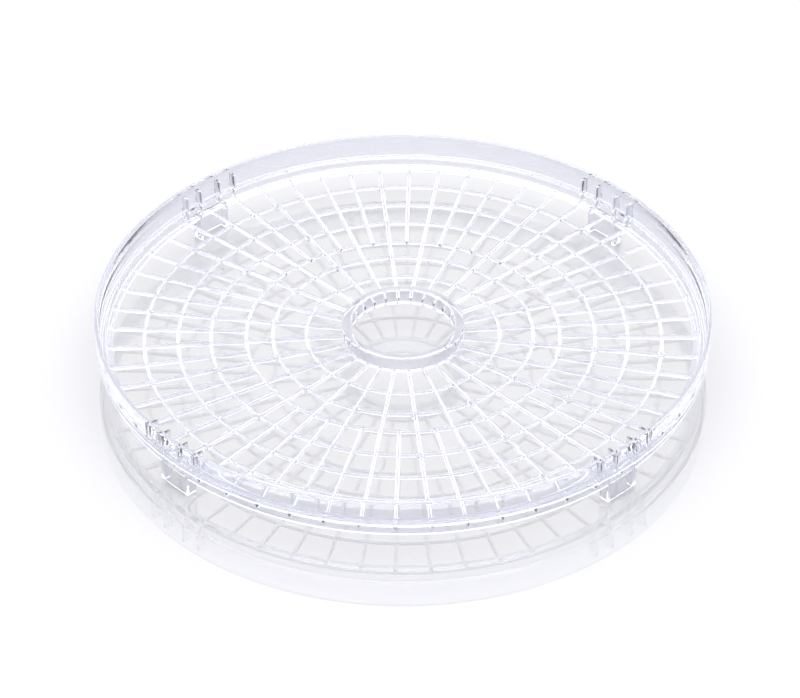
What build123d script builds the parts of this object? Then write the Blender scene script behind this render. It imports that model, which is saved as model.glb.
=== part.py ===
from build123d import *

import os

# Stacking drying tray of a round food dehydrator: one clear plastic moulding.
#
# The tray stands on its four feet with its open side up. The origin is on the tray's
# axis, at the level that the feet stand on, and +Z points up. Sizes are in millimetres.
#
# The real tray is moulded in one shot. Its features meet face to face here, and each
# is a closed solid of its own, so that every wall, rib and foot has a name and a size.

os.makedirs("parts", exist_ok=True)

# Overall sizes
outer_diameter = 320.0
overall_height = 33.0

# Rim wall and the skirt that nests inside the rim of the tray below
wall_thickness = 2.5
rim_edge_radius = 0.8
skirt_thickness = 2.5
nest_clearance = 0.6  # gap all round between a skirt and the rim it drops into
skirt_bottom = 10.6
skirt_height = 8.0
shoulder_thickness = 1.6

# Drying deck: a flange round a grille of rings and radial bars
flange_width = 3.3
flange_thickness = 1.5
grille_lift = 1.6  # from the skirt's lower edge up to the underside of the bars
grille_depth = 2.4
ring_width = 1.9
bar_width = 2.1
inner_bar_count = 28
outer_bar_count = 2 * inner_bar_count
ring_places = (0.155, 0.302, 0.419, 0.573, 0.716, 0.864)  # shares of the way out from hub to flange
split_ring = 3  # the bars double in number outside this ring

# Ejector pads: small round bosses where ejector pins pushed the moulding out
pad_diameter = 4.0
pad_rings = (2, 4, 6)
pads_per_ring = 14

# Hub collar around the air hole
hub_bore_diameter = 54.4
hub_thickness = 4.8
hub_rise = 5.0  # above the top of the flange
hub_edge_radius = 0.8

# Four stations, each with a comb of upright ribs above the deck and a foot below it
station_angle = 45.0
stations = ("back_right", "back_left", "front_left", "front_right")
rib_angles = (-6.3, -2.5, 2.5, 6.3)
rib_thickness = 1.3
rib_reach = 5.1  # inwards from the rim wall
rib_drop = 2.9  # from the rim's edge down to the top of a rib
foot_width = 20.0
foot_wall = 1.9

# Worked out from the sizes above
outer_radius = outer_diameter / 2
rim_inner_radius = outer_radius - wall_thickness
skirt_outer_radius = rim_inner_radius - nest_clearance
skirt_inner_radius = skirt_outer_radius - skirt_thickness
skirt_top = skirt_bottom + skirt_height
shoulder_top = skirt_top + shoulder_thickness
grille_bottom = skirt_bottom + grille_lift
grille_top = grille_bottom + grille_depth
flange_top = grille_top + flange_thickness
flange_inner_radius = skirt_inner_radius - flange_width
hub_bore_radius = hub_bore_diameter / 2
hub_outer_radius = hub_bore_radius + hub_thickness
hub_top = flange_top + hub_rise
rib_inner_radius = rim_inner_radius - rib_reach
rib_top = overall_height - rib_drop
station_angles = {name: station_angle + 360 * i / len(stations) for i, name in enumerate(stations)}
grille_span = flange_inner_radius - hub_outer_radius
ring_radii = [hub_outer_radius + share * grille_span for share in ring_places]
split_radius = ring_radii[split_ring - 1] + ring_width / 2
inner_rings = range(1, split_ring + 1)
outer_rings = range(split_ring + 1, len(ring_radii) + 1)


def washer(outer, inner):
    """Sketch a flat ring about the tray's axis."""
    Circle(outer)
    Circle(inner, mode=Mode.SUBTRACT)


def ring_face(radius):
    """Make the face of one grille ring, to be added to a sketch that already has bars."""
    with BuildSketch() as ring:
        washer(radius + ring_width / 2, radius - ring_width / 2)
    return ring.sketch


def keep_between(inner, outer):
    """Trim a sketch to the ring between two radii, so that its ends are round."""
    Circle(outer, mode=Mode.INTERSECT)
    Circle(inner, mode=Mode.SUBTRACT)


def grille_plan(rings, bar_count, inner, outer):
    """Sketch one zone of the grille: its bars, rings and ejector pads."""
    first_bar = station_angle % (360 / bar_count)
    with PolarLocations((inner + outer) / 2, bar_count, start_angle=first_bar):
        Rectangle(outer - inner + 2 * bar_width, bar_width)
    keep_between(inner, outer)
    for number in rings:
        radius = ring_radii[number - 1]
        add(ring_face(radius))
        if number in pad_rings:
            with PolarLocations(radius, pads_per_ring, start_angle=first_bar):
                Circle(pad_diameter / 2)


def rib_plan(angle, outer):
    """Sketch a station's ribs from their inner ends out to a radius."""
    for offset_angle in rib_angles:
        with PolarLocations(rib_inner_radius, 1, start_angle=angle + offset_angle):
            Rectangle(outer, rib_thickness, align=(Align.MIN, Align.CENTER))
    Circle(outer, mode=Mode.INTERSECT)


def foot_plan(angle, outer):
    """Sketch a foot as a channel that is open towards the tray's axis."""
    reach = foot_wall + skirt_outer_radius - flange_inner_radius
    with PolarLocations(skirt_outer_radius, 1, start_angle=angle):
        Rectangle(2 * reach, foot_width)
    keep_between(flange_inner_radius, outer)
    with PolarLocations(skirt_outer_radius - foot_wall, 1, start_angle=angle):
        pocket_width = foot_width - 2 * foot_wall
        Rectangle(reach, pocket_width, align=(Align.MAX, Align.CENTER), mode=Mode.SUBTRACT)


def write(piece, name):
    """Label a finished piece and write it as a STEP file."""
    piece.label = name
    export_step(piece, f"parts/{name}.step")


# Rim wall: the upright band above the shoulder, with a rounded edge
with BuildPart() as rim_wall:
    with BuildSketch(Plane.XY.offset(shoulder_top)):
        washer(outer_radius, rim_inner_radius)
    extrude(amount=overall_height - shoulder_top)
    rim_edges = rim_wall.edges().group_by(Axis.Z)[-1]
    fillet(rim_edges, min(rim_edge_radius, 0.4 * wall_thickness))
write(rim_wall.part, "rim_wall")

# Shoulder: the step that carries the wall inwards to the skirt
with BuildPart() as stacking_shoulder:
    with BuildSketch(Plane.XY.offset(skirt_top)):
        washer(outer_radius, skirt_inner_radius)
    extrude(amount=shoulder_thickness)
write(stacking_shoulder.part, "stacking_shoulder")

# Skirt: drops into the rim of the tray below when that tray is turned to stack low
with BuildPart() as stacking_skirt:
    with BuildSketch(Plane.XY.offset(skirt_bottom)):
        washer(skirt_outer_radius, skirt_inner_radius)
    extrude(amount=skirt_height)
write(stacking_skirt.part, "stacking_skirt")

# Flange: the solid margin of the deck, which covers the ends of the bars
with BuildPart() as deck_flange:
    with BuildSketch(Plane.XY.offset(grille_top)):
        washer(skirt_inner_radius, flange_inner_radius)
    extrude(amount=flange_thickness)
write(deck_flange.part, "deck_flange")

# Hub collar: keeps food out of the air hole
with BuildPart() as hub_collar:
    with BuildSketch(Plane.XY.offset(grille_bottom)):
        washer(hub_outer_radius, hub_bore_radius)
    extrude(amount=hub_top - grille_bottom)
    collar_edges = hub_collar.edges().group_by(Axis.Z)[-1]
    fillet(collar_edges, min(hub_edge_radius, 0.4 * hub_thickness))
write(hub_collar.part, "hub_collar")

# Inner grille: from the hub out to the ring where the bars double
with BuildPart() as inner_grille:
    with BuildSketch(Plane.XY.offset(grille_bottom)):
        grille_plan(inner_rings, inner_bar_count, hub_outer_radius, split_radius)
    extrude(amount=grille_depth)
write(inner_grille.part, "inner_grille")

# Outer grille: runs on under the flange to the skirt
with BuildPart() as outer_grille:
    with BuildSketch(Plane.XY.offset(grille_bottom)):
        grille_plan(outer_rings, outer_bar_count, split_radius, skirt_inner_radius)
    extrude(amount=grille_depth)
write(outer_grille.part, "outer_grille")

# Stations: the ribs above the deck carry the next tray's feet when it stacks high
for station, angle in station_angles.items():
    with BuildPart() as ribs:
        with BuildSketch(Plane.XY.offset(flange_top)):
            rib_plan(angle, skirt_inner_radius)
        extrude(amount=shoulder_top - flange_top)
        with BuildSketch(Plane.XY.offset(shoulder_top)):
            rib_plan(angle, rim_inner_radius)
        extrude(amount=rib_top - shoulder_top)
    write(ribs.part, f"stacking_ribs_{station}")

    with BuildPart() as foot:
        with BuildSketch(Plane.XY):
            foot_plan(angle, skirt_outer_radius)
        extrude(amount=skirt_bottom)
        with BuildSketch(Plane.XY.offset(skirt_bottom)):
            foot_plan(angle, skirt_inner_radius)
        extrude(amount=grille_top - skirt_bottom)
        add(outer_grille.part, mode=Mode.SUBTRACT)
    write(foot.part, f"foot_{station}")
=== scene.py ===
import math

import bmesh
import bpy
from mathutils import Euler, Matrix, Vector


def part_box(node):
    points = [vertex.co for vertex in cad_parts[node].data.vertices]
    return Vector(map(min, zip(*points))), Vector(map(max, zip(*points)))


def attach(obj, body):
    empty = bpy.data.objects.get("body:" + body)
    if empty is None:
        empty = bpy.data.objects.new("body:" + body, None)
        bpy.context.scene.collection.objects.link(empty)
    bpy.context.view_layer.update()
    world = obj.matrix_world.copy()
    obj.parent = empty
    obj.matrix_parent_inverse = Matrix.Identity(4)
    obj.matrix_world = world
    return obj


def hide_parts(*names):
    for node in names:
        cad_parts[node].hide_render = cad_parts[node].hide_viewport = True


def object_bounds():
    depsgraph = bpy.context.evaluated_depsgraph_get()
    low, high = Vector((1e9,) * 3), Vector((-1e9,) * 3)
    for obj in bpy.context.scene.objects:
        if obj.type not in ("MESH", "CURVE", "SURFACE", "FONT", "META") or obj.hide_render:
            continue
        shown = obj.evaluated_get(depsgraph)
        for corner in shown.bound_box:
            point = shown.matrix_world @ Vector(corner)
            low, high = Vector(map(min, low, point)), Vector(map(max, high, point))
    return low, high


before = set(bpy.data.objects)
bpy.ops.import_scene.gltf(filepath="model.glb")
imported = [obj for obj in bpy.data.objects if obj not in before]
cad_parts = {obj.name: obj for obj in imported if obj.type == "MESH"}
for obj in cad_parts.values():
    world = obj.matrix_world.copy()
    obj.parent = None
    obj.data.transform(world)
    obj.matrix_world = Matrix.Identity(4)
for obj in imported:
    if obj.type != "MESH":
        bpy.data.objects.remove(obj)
cadLow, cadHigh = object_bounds()
mm = 0.001
print("frame loaded:", len(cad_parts), "nodes")


camera = {
    "lens": 132.4,  # mm
    "sensor": 36.0,  # mm
    "nearest": 0.05,  # metres; nothing nearer is drawn
    "farthest": 40.0,  # metres
    "distance": 1.5259,  # metres from the centre of the rim's upper edge
    "rise": 36.632,  # degrees above the horizon, seen from that centre
    "tilt": 37.523,  # degrees that the camera looks down
    "orbit": 1.3,  # degrees round the tray, anticlockwise from above
    "pan": 0.074,  # degrees to the left
}


def makeCamera(c):
    data = bpy.data.cameras.new("camera")
    data.lens = c["lens"]
    data.sensor_width = c["sensor"]
    data.clip_start = c["nearest"]
    data.clip_end = c["farthest"]
    cam = bpy.data.objects.new("camera", data)
    bpy.context.scene.collection.objects.link(cam)
    bpy.context.scene.camera = cam
    rise, orbit = math.radians(c["rise"]), math.radians(c["orbit"])
    back = c["distance"] * math.cos(rise)
    cam.location = (
        back * math.sin(orbit),
        -back * math.cos(orbit),
        cadHigh.z + c["distance"] * math.sin(rise),
    )
    turn = orbit + math.radians(c["pan"])
    cam.rotation_euler = Euler((math.radians(90 - c["tilt"]), 0, turn))


makeCamera(camera)
print("camera ready")


def linear(hexColour):
    # sRGB hex to the linear colour that the shaders take
    parts = [int(hexColour[i:i + 2], 16) / 255 for i in (1, 3, 5)]
    return [p / 12.92 if p <= 0.04045 else ((p + 0.055) / 1.055) ** 2.4 for p in parts] + [1]


def addNode(tree, kind, settings=None, inputs=None):
    # inputs are values, or output sockets to link from
    node = tree.nodes.new(kind)
    for name, value in (settings or {}).items():
        setattr(node, name, value)
    for key, value in (inputs or {}).items():
        socket = node.inputs[key]
        if isinstance(value, bpy.types.NodeSocket):
            tree.links.new(value, socket)
        else:
            socket.default_value = value
    return node


trayMoulding = {
    "wall": 2.5 * mm,
    "rimRounding": 0.8 * mm,
    "skirtWall": 2.5 * mm,
    "flangeWidth": 3.3 * mm,
    "insideRounding": 0.5 * mm,
    "outsideRounding": 0.4 * mm,
    "flangeRounding": 0.3 * mm,
    "flangeUnderRounding": 0.2 * mm,
    "hubWall": 4.8 * mm,
    "hubRounding": 0.8 * mm,
    "roundSegments": 256,
    "cornerSteps": 4,  # faces round each eased corner of the spun outlines
    "ringPlaces": (0.155, 0.302, 0.419, 0.573, 0.716, 0.864),  # shares of the way from hub to flange
    "splitRing": 2,  # the bars double in number outside this ring, counted from 0
    "ringWidth": 1.9 * mm,
    "ringDrop": 0.12 * mm,  # how far the rings lie inside the bars' tops and undersides
    "barWidth": 2.1 * mm,
    "barDraft": 1.5 * mm,  # how much narrower bars and rings are at their undersides
    "barRounding": 0.15 * mm,
    "innerBars": 28,
    "firstBar": 45.0,  # degrees from the right, anticlockwise from above
    "padRings": (1, 3, 5),
    "padsPerRing": 14,
    "padDiameter": 4.0 * mm,
    "padDepth": 0.6 * mm,
    "padLift": 0.05 * mm,  # above the undersides of the bars
    "padSides": 24,
    "stations": 4,
    "stationAngle": 45.0,  # degrees to the first station
    "ribAngles": (-6.3, -2.5, 2.5, 6.3),  # degrees from the middle of a station
    "ribThickness": 1.3 * mm,
    "ribReach": 5.1 * mm,
    "ribRounding": 0.3 * mm,
    "footWidth": 20.0 * mm,
    "footWall": 1.9 * mm,
    "footRounding": 0.25 * mm,
    "footInset": 0.2 * mm,  # side walls end this far inside the skirt's face, and lie half as far in
    "footSteps": 12,  # points along the face plate's curve
    "filletSteps": 3,  # the same for bars, rings, ribs and the feet's face plates
    "overlap": 0.4 * mm,  # how deep features run into each other before they are joined
    "sharpAngle": 28.0,  # degrees between faces, past which an edge is shaded sharp
}


def traySizes(t):
    rim, shoulder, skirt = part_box("rim_wall"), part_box("stacking_shoulder"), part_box("stacking_skirt")
    flange, grille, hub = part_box("deck_flange"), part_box("outer_grille"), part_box("hub_collar")
    ribs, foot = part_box("stacking_ribs_front_right"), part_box("foot_front_right")
    s = {
        "rimRadius": rim[1].x, "rimTop": rim[1].z, "shoulderTop": rim[0].z,
        "shoulderBottom": shoulder[0].z, "skirtBottom": skirt[0].z,
        "flangeTop": flange[1].z, "flangeBottom": flange[0].z,
        "grilleTop": grille[1].z, "grilleBottom": grille[0].z,
        "hubTop": hub[1].z, "ribTop": ribs[1].z, "footBottom": foot[0].z,
    }
    s["rimInner"] = s["rimRadius"] - t["wall"]
    s["skirtOuter"] = skirt[1].x
    s["skirtInner"] = s["skirtOuter"] - t["skirtWall"]
    s["flangeInner"] = s["skirtInner"] - t["flangeWidth"]
    s["hubOuter"] = hub[1].x
    s["hubBore"] = s["hubOuter"] - t["hubWall"]
    span = s["flangeInner"] - s["hubOuter"]
    s["rings"] = [s["hubOuter"] + p * span for p in t["ringPlaces"]]
    s["split"] = s["rings"][t["splitRing"]]
    return s


def roundedProfile(corners, steps):
    # corners are (radius, height, rounding); returns the closed outline's points
    points = []
    for i, (r, z, rounding) in enumerate(corners):
        here = Vector((r, z))
        toBefore = (Vector(corners[i - 1][:2]) - here).normalized()
        toAfter = (Vector(corners[(i + 1) % len(corners)][:2]) - here).normalized()
        half = math.acos(toBefore.dot(toAfter)) / 2
        inward = (toBefore + toAfter).normalized()
        centre = here + inward * rounding / math.sin(half)
        side = (toBefore - toAfter).normalized()
        reach = math.pi / 2 - half
        for k in range(steps + 1):
            angle = reach * (1 - 2 * k / steps)
            arm = side * math.sin(angle) - inward * math.cos(angle)
            points.append(centre + arm * rounding)
    return points


def revolve(mesh, points, segments):
    # spins a closed outline round the tray's axis, faces outwards
    area = sum(
        points[i - 1].x * points[i].y - points[i].x * points[i - 1].y
        for i in range(len(points))
    )
    if area < 0:
        points = points[::-1]
    loops = []
    for k in range(segments):
        angle = 2 * math.pi * k / segments
        loops.append(
            [mesh.verts.new((p.x * math.cos(angle), p.x * math.sin(angle), p.y)) for p in points]
        )
    for k in range(segments):
        here, there = loops[k], loops[(k + 1) % segments]
        for i in range(len(points)):
            j = (i + 1) % len(points)
            mesh.faces.new((here[i], there[i], there[j], here[j]))


def roundBody(t, s):
    # the wall, shoulder, skirt and flange as one outline, and the hub collar as another
    inside, outside = t["insideRounding"], t["outsideRounding"]
    wall = [
        (s["rimRadius"], s["rimTop"], t["rimRounding"]),
        (s["rimInner"], s["rimTop"], t["rimRounding"]),
        (s["rimInner"], s["shoulderTop"], inside),
        (s["skirtInner"], s["shoulderTop"], inside),
        (s["skirtInner"], s["flangeTop"], inside),
        (s["flangeInner"], s["flangeTop"], t["flangeRounding"]),
        (s["flangeInner"], s["flangeBottom"], t["flangeUnderRounding"]),
        (s["skirtInner"], s["flangeBottom"], inside),
        (s["skirtInner"], s["skirtBottom"], outside),
        (s["skirtOuter"], s["skirtBottom"], outside),
        (s["skirtOuter"], s["shoulderBottom"], inside),
        (s["rimRadius"], s["shoulderBottom"], outside),
    ]
    hub = [
        (s["hubOuter"], s["hubTop"], t["hubRounding"]),
        (s["hubBore"], s["hubTop"], t["hubRounding"]),
        (s["hubBore"], s["grilleBottom"], inside),
        (s["hubOuter"], s["grilleBottom"], inside),
    ]
    mesh = bmesh.new()
    for outline in (wall, hub):
        revolve(mesh, roundedProfile(outline, t["cornerSteps"]), t["roundSegments"])
    data = bpy.data.meshes.new("roundBody")
    mesh.to_mesh(data)
    mesh.free()
    body = bpy.data.objects.new("clear_tray", data)
    bpy.context.scene.collection.objects.link(body)
    return body


def section(tree, width, height, draft, rounding, steps):
    # a cross-section that is narrower below by the draft
    narrow = addNode(tree, "ShaderNodeMath", {"operation": "SUBTRACT"}, {0: width, 1: draft})
    outline = addNode(
        tree, "GeometryNodeCurvePrimitiveQuadrilateral", {"mode": "TRAPEZOID"},
        {"Height": height, "Bottom Width": width, "Top Width": narrow.outputs[0], "Offset": 0.0},
    )
    eased = addNode(
        tree, "GeometryNodeFilletCurve", {"mode": "POLY"},
        {"Curve": outline.outputs[0], "Count": steps, "Radius": rounding, "Limit Radius": True},
    )
    return eased.outputs[0]


def sweep(tree, path, profile):
    # the profile stays upright along a level path, with its plus Y side down
    upright = addNode(tree, "GeometryNodeSetCurveNormal", {"mode": "Z_UP"}, {"Curve": path})
    swept = addNode(
        tree, "GeometryNodeCurveToMesh", {},
        {"Curve": upright.outputs[0], "Profile Curve": profile, "Fill Caps": True},
    )
    return swept.outputs[0]


def spread(tree, piece, count, firstAngle):
    # copies of a piece at even angles round the axis, turned to face out
    step = addNode(tree, "ShaderNodeMath", {"operation": "DIVIDE"}, {0: 2 * math.pi, 1: count})
    index = addNode(tree, "GeometryNodeInputIndex")
    turn = addNode(
        tree, "ShaderNodeMath", {"operation": "MULTIPLY_ADD"},
        {0: index.outputs[0], 1: step.outputs[0], 2: math.radians(firstAngle)},
    )
    points = addNode(tree, "GeometryNodePoints", {}, {"Count": count})
    angles = addNode(tree, "ShaderNodeCombineXYZ", {}, {"Z": turn.outputs[0]})
    copies = addNode(
        tree, "GeometryNodeInstanceOnPoints", {},
        {"Points": points.outputs[0], "Instance": piece, "Rotation": angles.outputs[0]},
    )
    return addNode(tree, "GeometryNodeRealizeInstances", {}, {0: copies.outputs[0]}).outputs[0]


def grilleRings(tree, t, s, size):
    # each ring is swept round a circle
    height = s["grilleTop"] - s["grilleBottom"] - 2 * t["ringDrop"]
    middle = (s["grilleTop"] + s["grilleBottom"]) / 2
    profile = section(tree, size["Ring Width"], height, t["barDraft"], t["barRounding"], t["filletSteps"])
    rings = addNode(tree, "GeometryNodeJoinGeometry")
    for radius in s["rings"]:
        circle = addNode(
            tree, "GeometryNodeCurvePrimitiveCircle", {},
            {"Resolution": t["roundSegments"], "Radius": radius},
        )
        ring = addNode(
            tree, "GeometryNodeTransform", {},
            {"Geometry": sweep(tree, circle.outputs[0], profile), "Translation": (0, 0, middle)},
        )
        tree.links.new(ring.outputs[0], rings.inputs[0])
    return [rings.outputs[0]]


def grilleBars(tree, t, s, size):
    # twice as many bars outside the split ring as inside it
    height = s["grilleTop"] - s["grilleBottom"]
    middle = (s["grilleTop"] + s["grilleBottom"]) / 2
    lap = t["overlap"]
    profile = section(tree, size["Bar Width"], height, t["barDraft"], t["barRounding"], t["filletSteps"])
    zones = [
        (s["hubOuter"] - lap, s["split"], "Inner Bars"),
        (s["split"] - lap, s["skirtInner"] + lap, "Outer Bars"),
    ]
    bars = []
    for start, end, count in zones:
        path = addNode(
            tree, "GeometryNodeCurvePrimitiveLine", {"mode": "POINTS"},
            {"Start": (start, 0, middle), "End": (end, 0, middle)},
        )
        bar = sweep(tree, path.outputs[0], profile)
        bars.append(spread(tree, bar, size[count], t["firstBar"]))
    return bars


def ejectorPads(tree, t, s, size):
    # round bosses at the undersides of some crossings, where ejector pins pushed the moulding out
    height = s["grilleBottom"] + t["padLift"] + t["padDepth"] / 2
    pads = []
    for ring in t["padRings"]:
        pad = addNode(
            tree, "GeometryNodeMeshCylinder", {},
            {"Vertices": t["padSides"], "Radius": t["padDiameter"] / 2, "Depth": t["padDepth"]},
        )
        placed = addNode(
            tree, "GeometryNodeTransform", {},
            {"Geometry": pad.outputs[0], "Translation": (s["rings"][ring], 0, height)},
        )
        pads.append(spread(tree, placed.outputs[0], size["Pads Per Ring"], t["firstBar"]))
    return pads


def stackingRibs(tree, t, s, size):
    # upright plates against the wall, which carry the next tray's feet
    lap = t["overlap"]
    outline = addNode(
        tree, "GeometryNodeCurvePrimitiveQuadrilateral", {"mode": "RECTANGLE"},
        {"Width": t["ribReach"] + lap, "Height": size["Rib Thickness"]},
    )
    eased = addNode(
        tree, "GeometryNodeFilletCurve", {"mode": "POLY"},
        {
            "Curve": outline.outputs[0], "Count": t["filletSteps"],
            "Radius": t["ribRounding"], "Limit Radius": True,
        },
    )
    path = addNode(
        tree, "GeometryNodeCurvePrimitiveLine", {"mode": "POINTS"},
        {"Start": (0, 0, s["flangeTop"] - lap), "End": (0, 0, s["ribTop"])},
    )
    plate = addNode(
        tree, "GeometryNodeCurveToMesh", {},
        {"Curve": path.outputs[0], "Profile Curve": eased.outputs[0], "Fill Caps": True},
    )
    middle = s["rimInner"] - t["ribReach"] / 2 + lap / 2
    placed = addNode(
        tree, "GeometryNodeTransform", {},
        {"Geometry": plate.outputs[0], "Translation": (middle, 0, 0)},
    )
    return [
        spread(tree, placed.outputs[0], t["stations"], t["stationAngle"] + angle)
        for angle in t["ribAngles"]
    ]


def feet(tree, t, s):
    # each foot is a curved face plate and two side walls
    lap, bottom = t["overlap"], s["footBottom"]
    faceHeight = s["skirtBottom"] + lap - bottom
    halfAngle = math.asin(t["footWidth"] / 2 / s["skirtOuter"])
    arc = addNode(
        tree, "GeometryNodeCurveArc", {},
        {
            "Resolution": t["footSteps"], "Radius": s["skirtOuter"] - t["footWall"] / 2,
            "Start Angle": -halfAngle, "Sweep Angle": 2 * halfAngle,
        },
    )
    profile = section(tree, t["footWall"], faceHeight, 0.0, t["footRounding"], t["filletSteps"])
    face = addNode(
        tree, "GeometryNodeTransform", {},
        {
            "Geometry": sweep(tree, arc.outputs[0], profile),
            "Translation": (0, 0, bottom + faceHeight / 2),
        },
    )
    plates = [spread(tree, face.outputs[0], t["stations"], t["stationAngle"])]
    reach = s["skirtOuter"] - s["flangeInner"] - t["footInset"]
    height = s["flangeBottom"] + lap / 2 - bottom
    for side in (-1, 1):
        block = addNode(tree, "GeometryNodeMeshCube", {}, {"Size": (reach, t["footWall"], height)})
        across = side * (t["footWidth"] - t["footWall"] - t["footInset"]) / 2
        wall = addNode(
            tree, "GeometryNodeTransform", {},
            {
                "Geometry": block.outputs[0],
                "Translation": (s["flangeInner"] + reach / 2, across, bottom + height / 2),
            },
        )
        plates.append(spread(tree, wall.outputs[0], t["stations"], t["stationAngle"]))
    return plates


def trayTree(t, s):
    # joins the features to the round body; returns the tree and the values of its inputs
    tree = bpy.data.node_groups.new("trayMoulding", "GeometryNodeTree")
    tree.interface.new_socket("Geometry", in_out="INPUT", socket_type="NodeSocketGeometry")
    tree.interface.new_socket("Geometry", in_out="OUTPUT", socket_type="NodeSocketGeometry")
    named = [
        ("Bar Width", "NodeSocketFloat", t["barWidth"]),
        ("Ring Width", "NodeSocketFloat", t["ringWidth"]),
        ("Inner Bars", "NodeSocketInt", t["innerBars"]),
        ("Outer Bars", "NodeSocketInt", 2 * t["innerBars"]),
        ("Pads Per Ring", "NodeSocketInt", t["padsPerRing"]),
        ("Rib Thickness", "NodeSocketFloat", t["ribThickness"]),
        ("Material", "NodeSocketMaterial", None),
    ]
    values = {}
    for name, kind, value in named:
        socket = tree.interface.new_socket(name, in_out="INPUT", socket_type=kind)
        values[socket.identifier] = value
    size = addNode(tree, "NodeGroupInput").outputs

    parts = grilleRings(tree, t, s, size) + grilleBars(tree, t, s, size) + ejectorPads(tree, t, s, size)
    parts += stackingRibs(tree, t, s, size) + feet(tree, t, s)
    union = addNode(tree, "GeometryNodeMeshBoolean", {"operation": "UNION", "solver": "MANIFOLD"})
    for part in [size["Geometry"]] + parts:
        tree.links.new(part, union.inputs[1])
    real = addNode(tree, "GeometryNodeRealizeInstances", {}, {0: union.outputs[0]})
    done = addNode(
        tree, "GeometryNodeSetMaterial", {},
        {"Geometry": real.outputs[0], "Material": size["Material"]},
    )
    addNode(tree, "NodeGroupOutput", {}, {0: done.outputs[0]})
    return tree, values


def bakeTree(body, tree, values, material):
    # leaves the body with the tree's result as its own mesh
    modifier = body.modifiers.new("moulding", "NODES")
    modifier.node_group = tree
    for identifier, value in values.items():
        modifier[identifier] = material if value is None else value
    bpy.context.view_layer.update()
    graph = bpy.context.evaluated_depsgraph_get()
    made = bpy.data.meshes.new_from_object(body.evaluated_get(graph), depsgraph=graph)
    body.modifiers.remove(modifier)
    body.data = made


clearStyrene = {
    "trappedAfter": 4.5,  # bounces, after which light starts to go straight on and out of a wall
    "trappedFade": 2.0,  # bounces from there until all of it does
    "shadowFade": 0.64,  # share of the light for the floor that each face lets straight through
    "tint": "#E9EAF0",  # white light after it has gone in and out of a wall
    "ior": 1.58,
    "roughness": 0.01,
    "worn": 0.03,  # roughness where the mould's polish is worn
    "hazeWidth": 9 * mm,  # of the patches where the polish changes
    "hazeDetail": 3.0,
    "flowWidth": 14 * mm,  # slow ripples where the melt flowed and shrank
    "flowDetail": 2.0,
    "flowDistortion": 0.6,
    "flowHeight": 0.03 * mm,
    "flowStrength": 1.0,
    "depthTint": "#BFC0D6",  # the depth of the plastic absorbs what this colour lacks
    "depthDensity": 14.0,  # per metre
}


def makeClearStyrene(m):
    # crystal polystyrene from a polished mould: water clear on its faces, lavender grey along its edges
    material = bpy.data.materials.new("clearStyreneMoulded")
    material.use_nodes = True
    tree = material.node_tree
    tree.nodes.clear()
    path = addNode(tree, "ShaderNodeLightPath").outputs
    freed = m["trappedAfter"] + m["trappedFade"]
    trapped = addNode(
        tree, "ShaderNodeMapRange", {},
        {"Value": path["Ray Depth"], "From Min": m["trappedAfter"], "From Max": freed},
    )
    onFloor = addNode(
        tree, "ShaderNodeMath", {"operation": "MAXIMUM"},
        {0: path["Is Shadow Ray"], 1: path["Is Diffuse Ray"]},
    )
    faded = addNode(
        tree, "ShaderNodeMath", {"operation": "MULTIPLY"}, {0: onFloor.outputs[0], 1: m["shadowFade"]}
    )
    through = addNode(
        tree, "ShaderNodeMath", {"operation": "MAXIMUM"}, {0: trapped.outputs[0], 1: faded.outputs[0]}
    )
    solid = addNode(tree, "ShaderNodeMath", {"operation": "SUBTRACT"}, {0: 1.0, 1: through.outputs[0]})
    place = addNode(tree, "ShaderNodeTexCoord").outputs["Object"]
    flow = addNode(
        tree, "ShaderNodeTexNoise", {},
        {
            "Vector": place, "Scale": 1 / m["flowWidth"],
            "Detail": m["flowDetail"], "Distortion": m["flowDistortion"],
        },
    )
    ripple = addNode(
        tree, "ShaderNodeBump", {},
        {"Height": flow.outputs[0], "Strength": m["flowStrength"], "Distance": m["flowHeight"]},
    )
    haze = addNode(
        tree, "ShaderNodeTexNoise", {},
        {"Vector": place, "Scale": 1 / m["hazeWidth"], "Detail": m["hazeDetail"]},
    )
    polish = addNode(
        tree, "ShaderNodeMapRange", {},
        {"Value": haze.outputs[0], "To Min": m["roughness"], "To Max": m["worn"]},
    )
    shader = addNode(
        tree, "ShaderNodeBsdfPrincipled", {},
        {
            "Base Color": linear(m["tint"]), "IOR": m["ior"], "Roughness": polish.outputs[0],
            "Transmission Weight": 1.0, "Alpha": solid.outputs[0], "Normal": ripple.outputs[0],
        },
    )
    depth = addNode(
        tree, "ShaderNodeVolumeAbsorption", {},
        {"Color": linear(m["depthTint"]), "Density": m["depthDensity"]},
    )
    addNode(
        tree, "ShaderNodeOutputMaterial", {}, {"Surface": shader.outputs[0], "Volume": depth.outputs[0]}
    )
    return material


sizes = traySizes(trayMoulding)
styrene = makeClearStyrene(clearStyrene)
tray = roundBody(trayMoulding, sizes)
tree, values = trayTree(trayMoulding, sizes)
bakeTree(tray, tree, values, styrene)
print("tray moulded:", len(tray.data.vertices), "vertices", len(tray.data.polygons), "faces")
tray.data.shade_smooth()
tray.data.set_sharp_from_angle(angle=math.radians(trayMoulding["sharpAngle"]))
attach(tray, "root")
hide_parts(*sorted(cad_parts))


studio = {
    "floor": "#ABABAD",
    "floorSize": 6.0,  # metres
    "floorGap": 0.02 * mm,  # keeps the sheet's face off the feet's faces
    "floorIor": 2.3,  # how strongly the sheet's polished face mirrors, more so at low angles
    "floorRoughness": 0.012,
    "world": "#F8F8FA",
    "worldStrength": 1.95,
}

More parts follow.
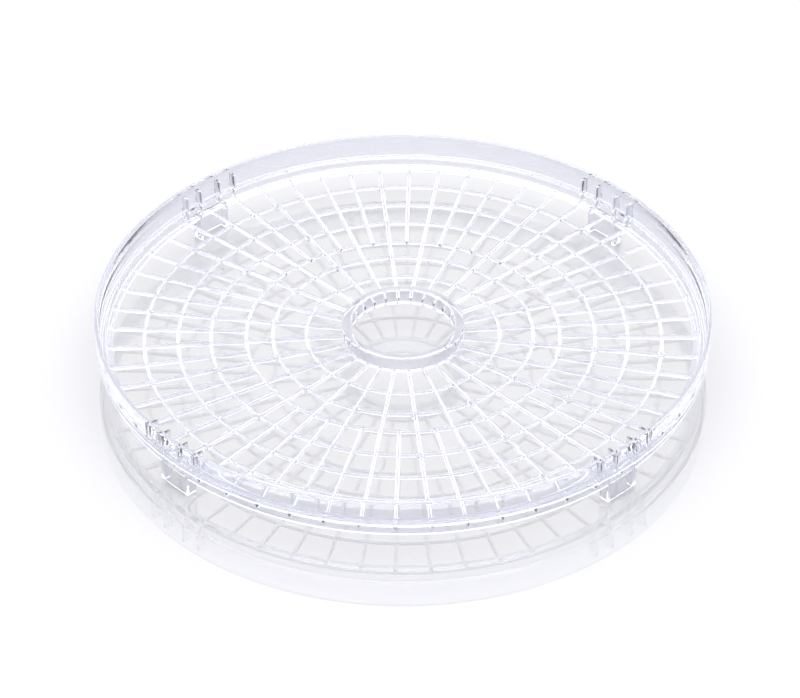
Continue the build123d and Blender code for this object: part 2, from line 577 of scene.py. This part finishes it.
overhead = {
    "size": (1.6, 1.6),  # metres
    "watts": 12,
    "place": (0, 0.3, 1.6),
    "aim": (0, 0, 0),
}


def makeFloor(v):
    mesh = bmesh.new()
    bmesh.ops.create_grid(mesh, x_segments=1, y_segments=1, size=v["floorSize"] / 2)
    bmesh.ops.translate(mesh, verts=mesh.verts, vec=(0, 0, -v["floorGap"]))
    data = bpy.data.meshes.new("floor")
    mesh.to_mesh(data)
    mesh.free()
    floor = bpy.data.objects.new("floor", data)
    bpy.context.scene.collection.objects.link(floor)
    material = bpy.data.materials.new("glossAcrylicSheet")
    material.use_nodes = True
    tree = material.node_tree
    tree.nodes.clear()
    white = addNode(tree, "ShaderNodeBsdfDiffuse", {}, {"Color": linear(v["floor"])})
    gloss = addNode(
        tree, "ShaderNodeBsdfAnisotropic", {}, {"Color": (1, 1, 1, 1), "Roughness": v["floorRoughness"]}
    )
    shine = addNode(tree, "ShaderNodeFresnel", {}, {"IOR": v["floorIor"]})
    both = addNode(
        tree, "ShaderNodeMixShader", {}, {0: shine.outputs[0], 1: white.outputs[0], 2: gloss.outputs[0]}
    )
    addNode(tree, "ShaderNodeOutputMaterial", {}, {"Surface": both.outputs[0]})
    data.materials.append(material)


def makeWorld(v):
    world = bpy.data.worlds.new("studio")
    bpy.context.scene.world = world
    world.use_nodes = True
    background = world.node_tree.nodes["Background"]
    background.inputs["Color"].default_value = linear(v["world"])
    background.inputs["Strength"].default_value = v["worldStrength"]


def makeLight(name, v):
    data = bpy.data.lights.new(name, "AREA")
    data.shape = "RECTANGLE"
    data.size, data.size_y = v["size"]
    data.energy = v["watts"]
    lamp = bpy.data.objects.new(name, data)
    lamp.location = v["place"]
    lamp.rotation_mode = "QUATERNION"
    lamp.rotation_quaternion = (Vector(v["aim"]) - Vector(v["place"])).to_track_quat("-Z", "Y")
    bpy.context.scene.collection.objects.link(lamp)


makeFloor(studio)
makeWorld(studio)
makeLight("overhead", overhead)
bpy.context.scene.view_settings.view_transform = "Standard"
bpy.context.scene.cycles.caustics_refractive = False
bpy.context.scene.cycles.caustics_reflective = False
print("stage ready")
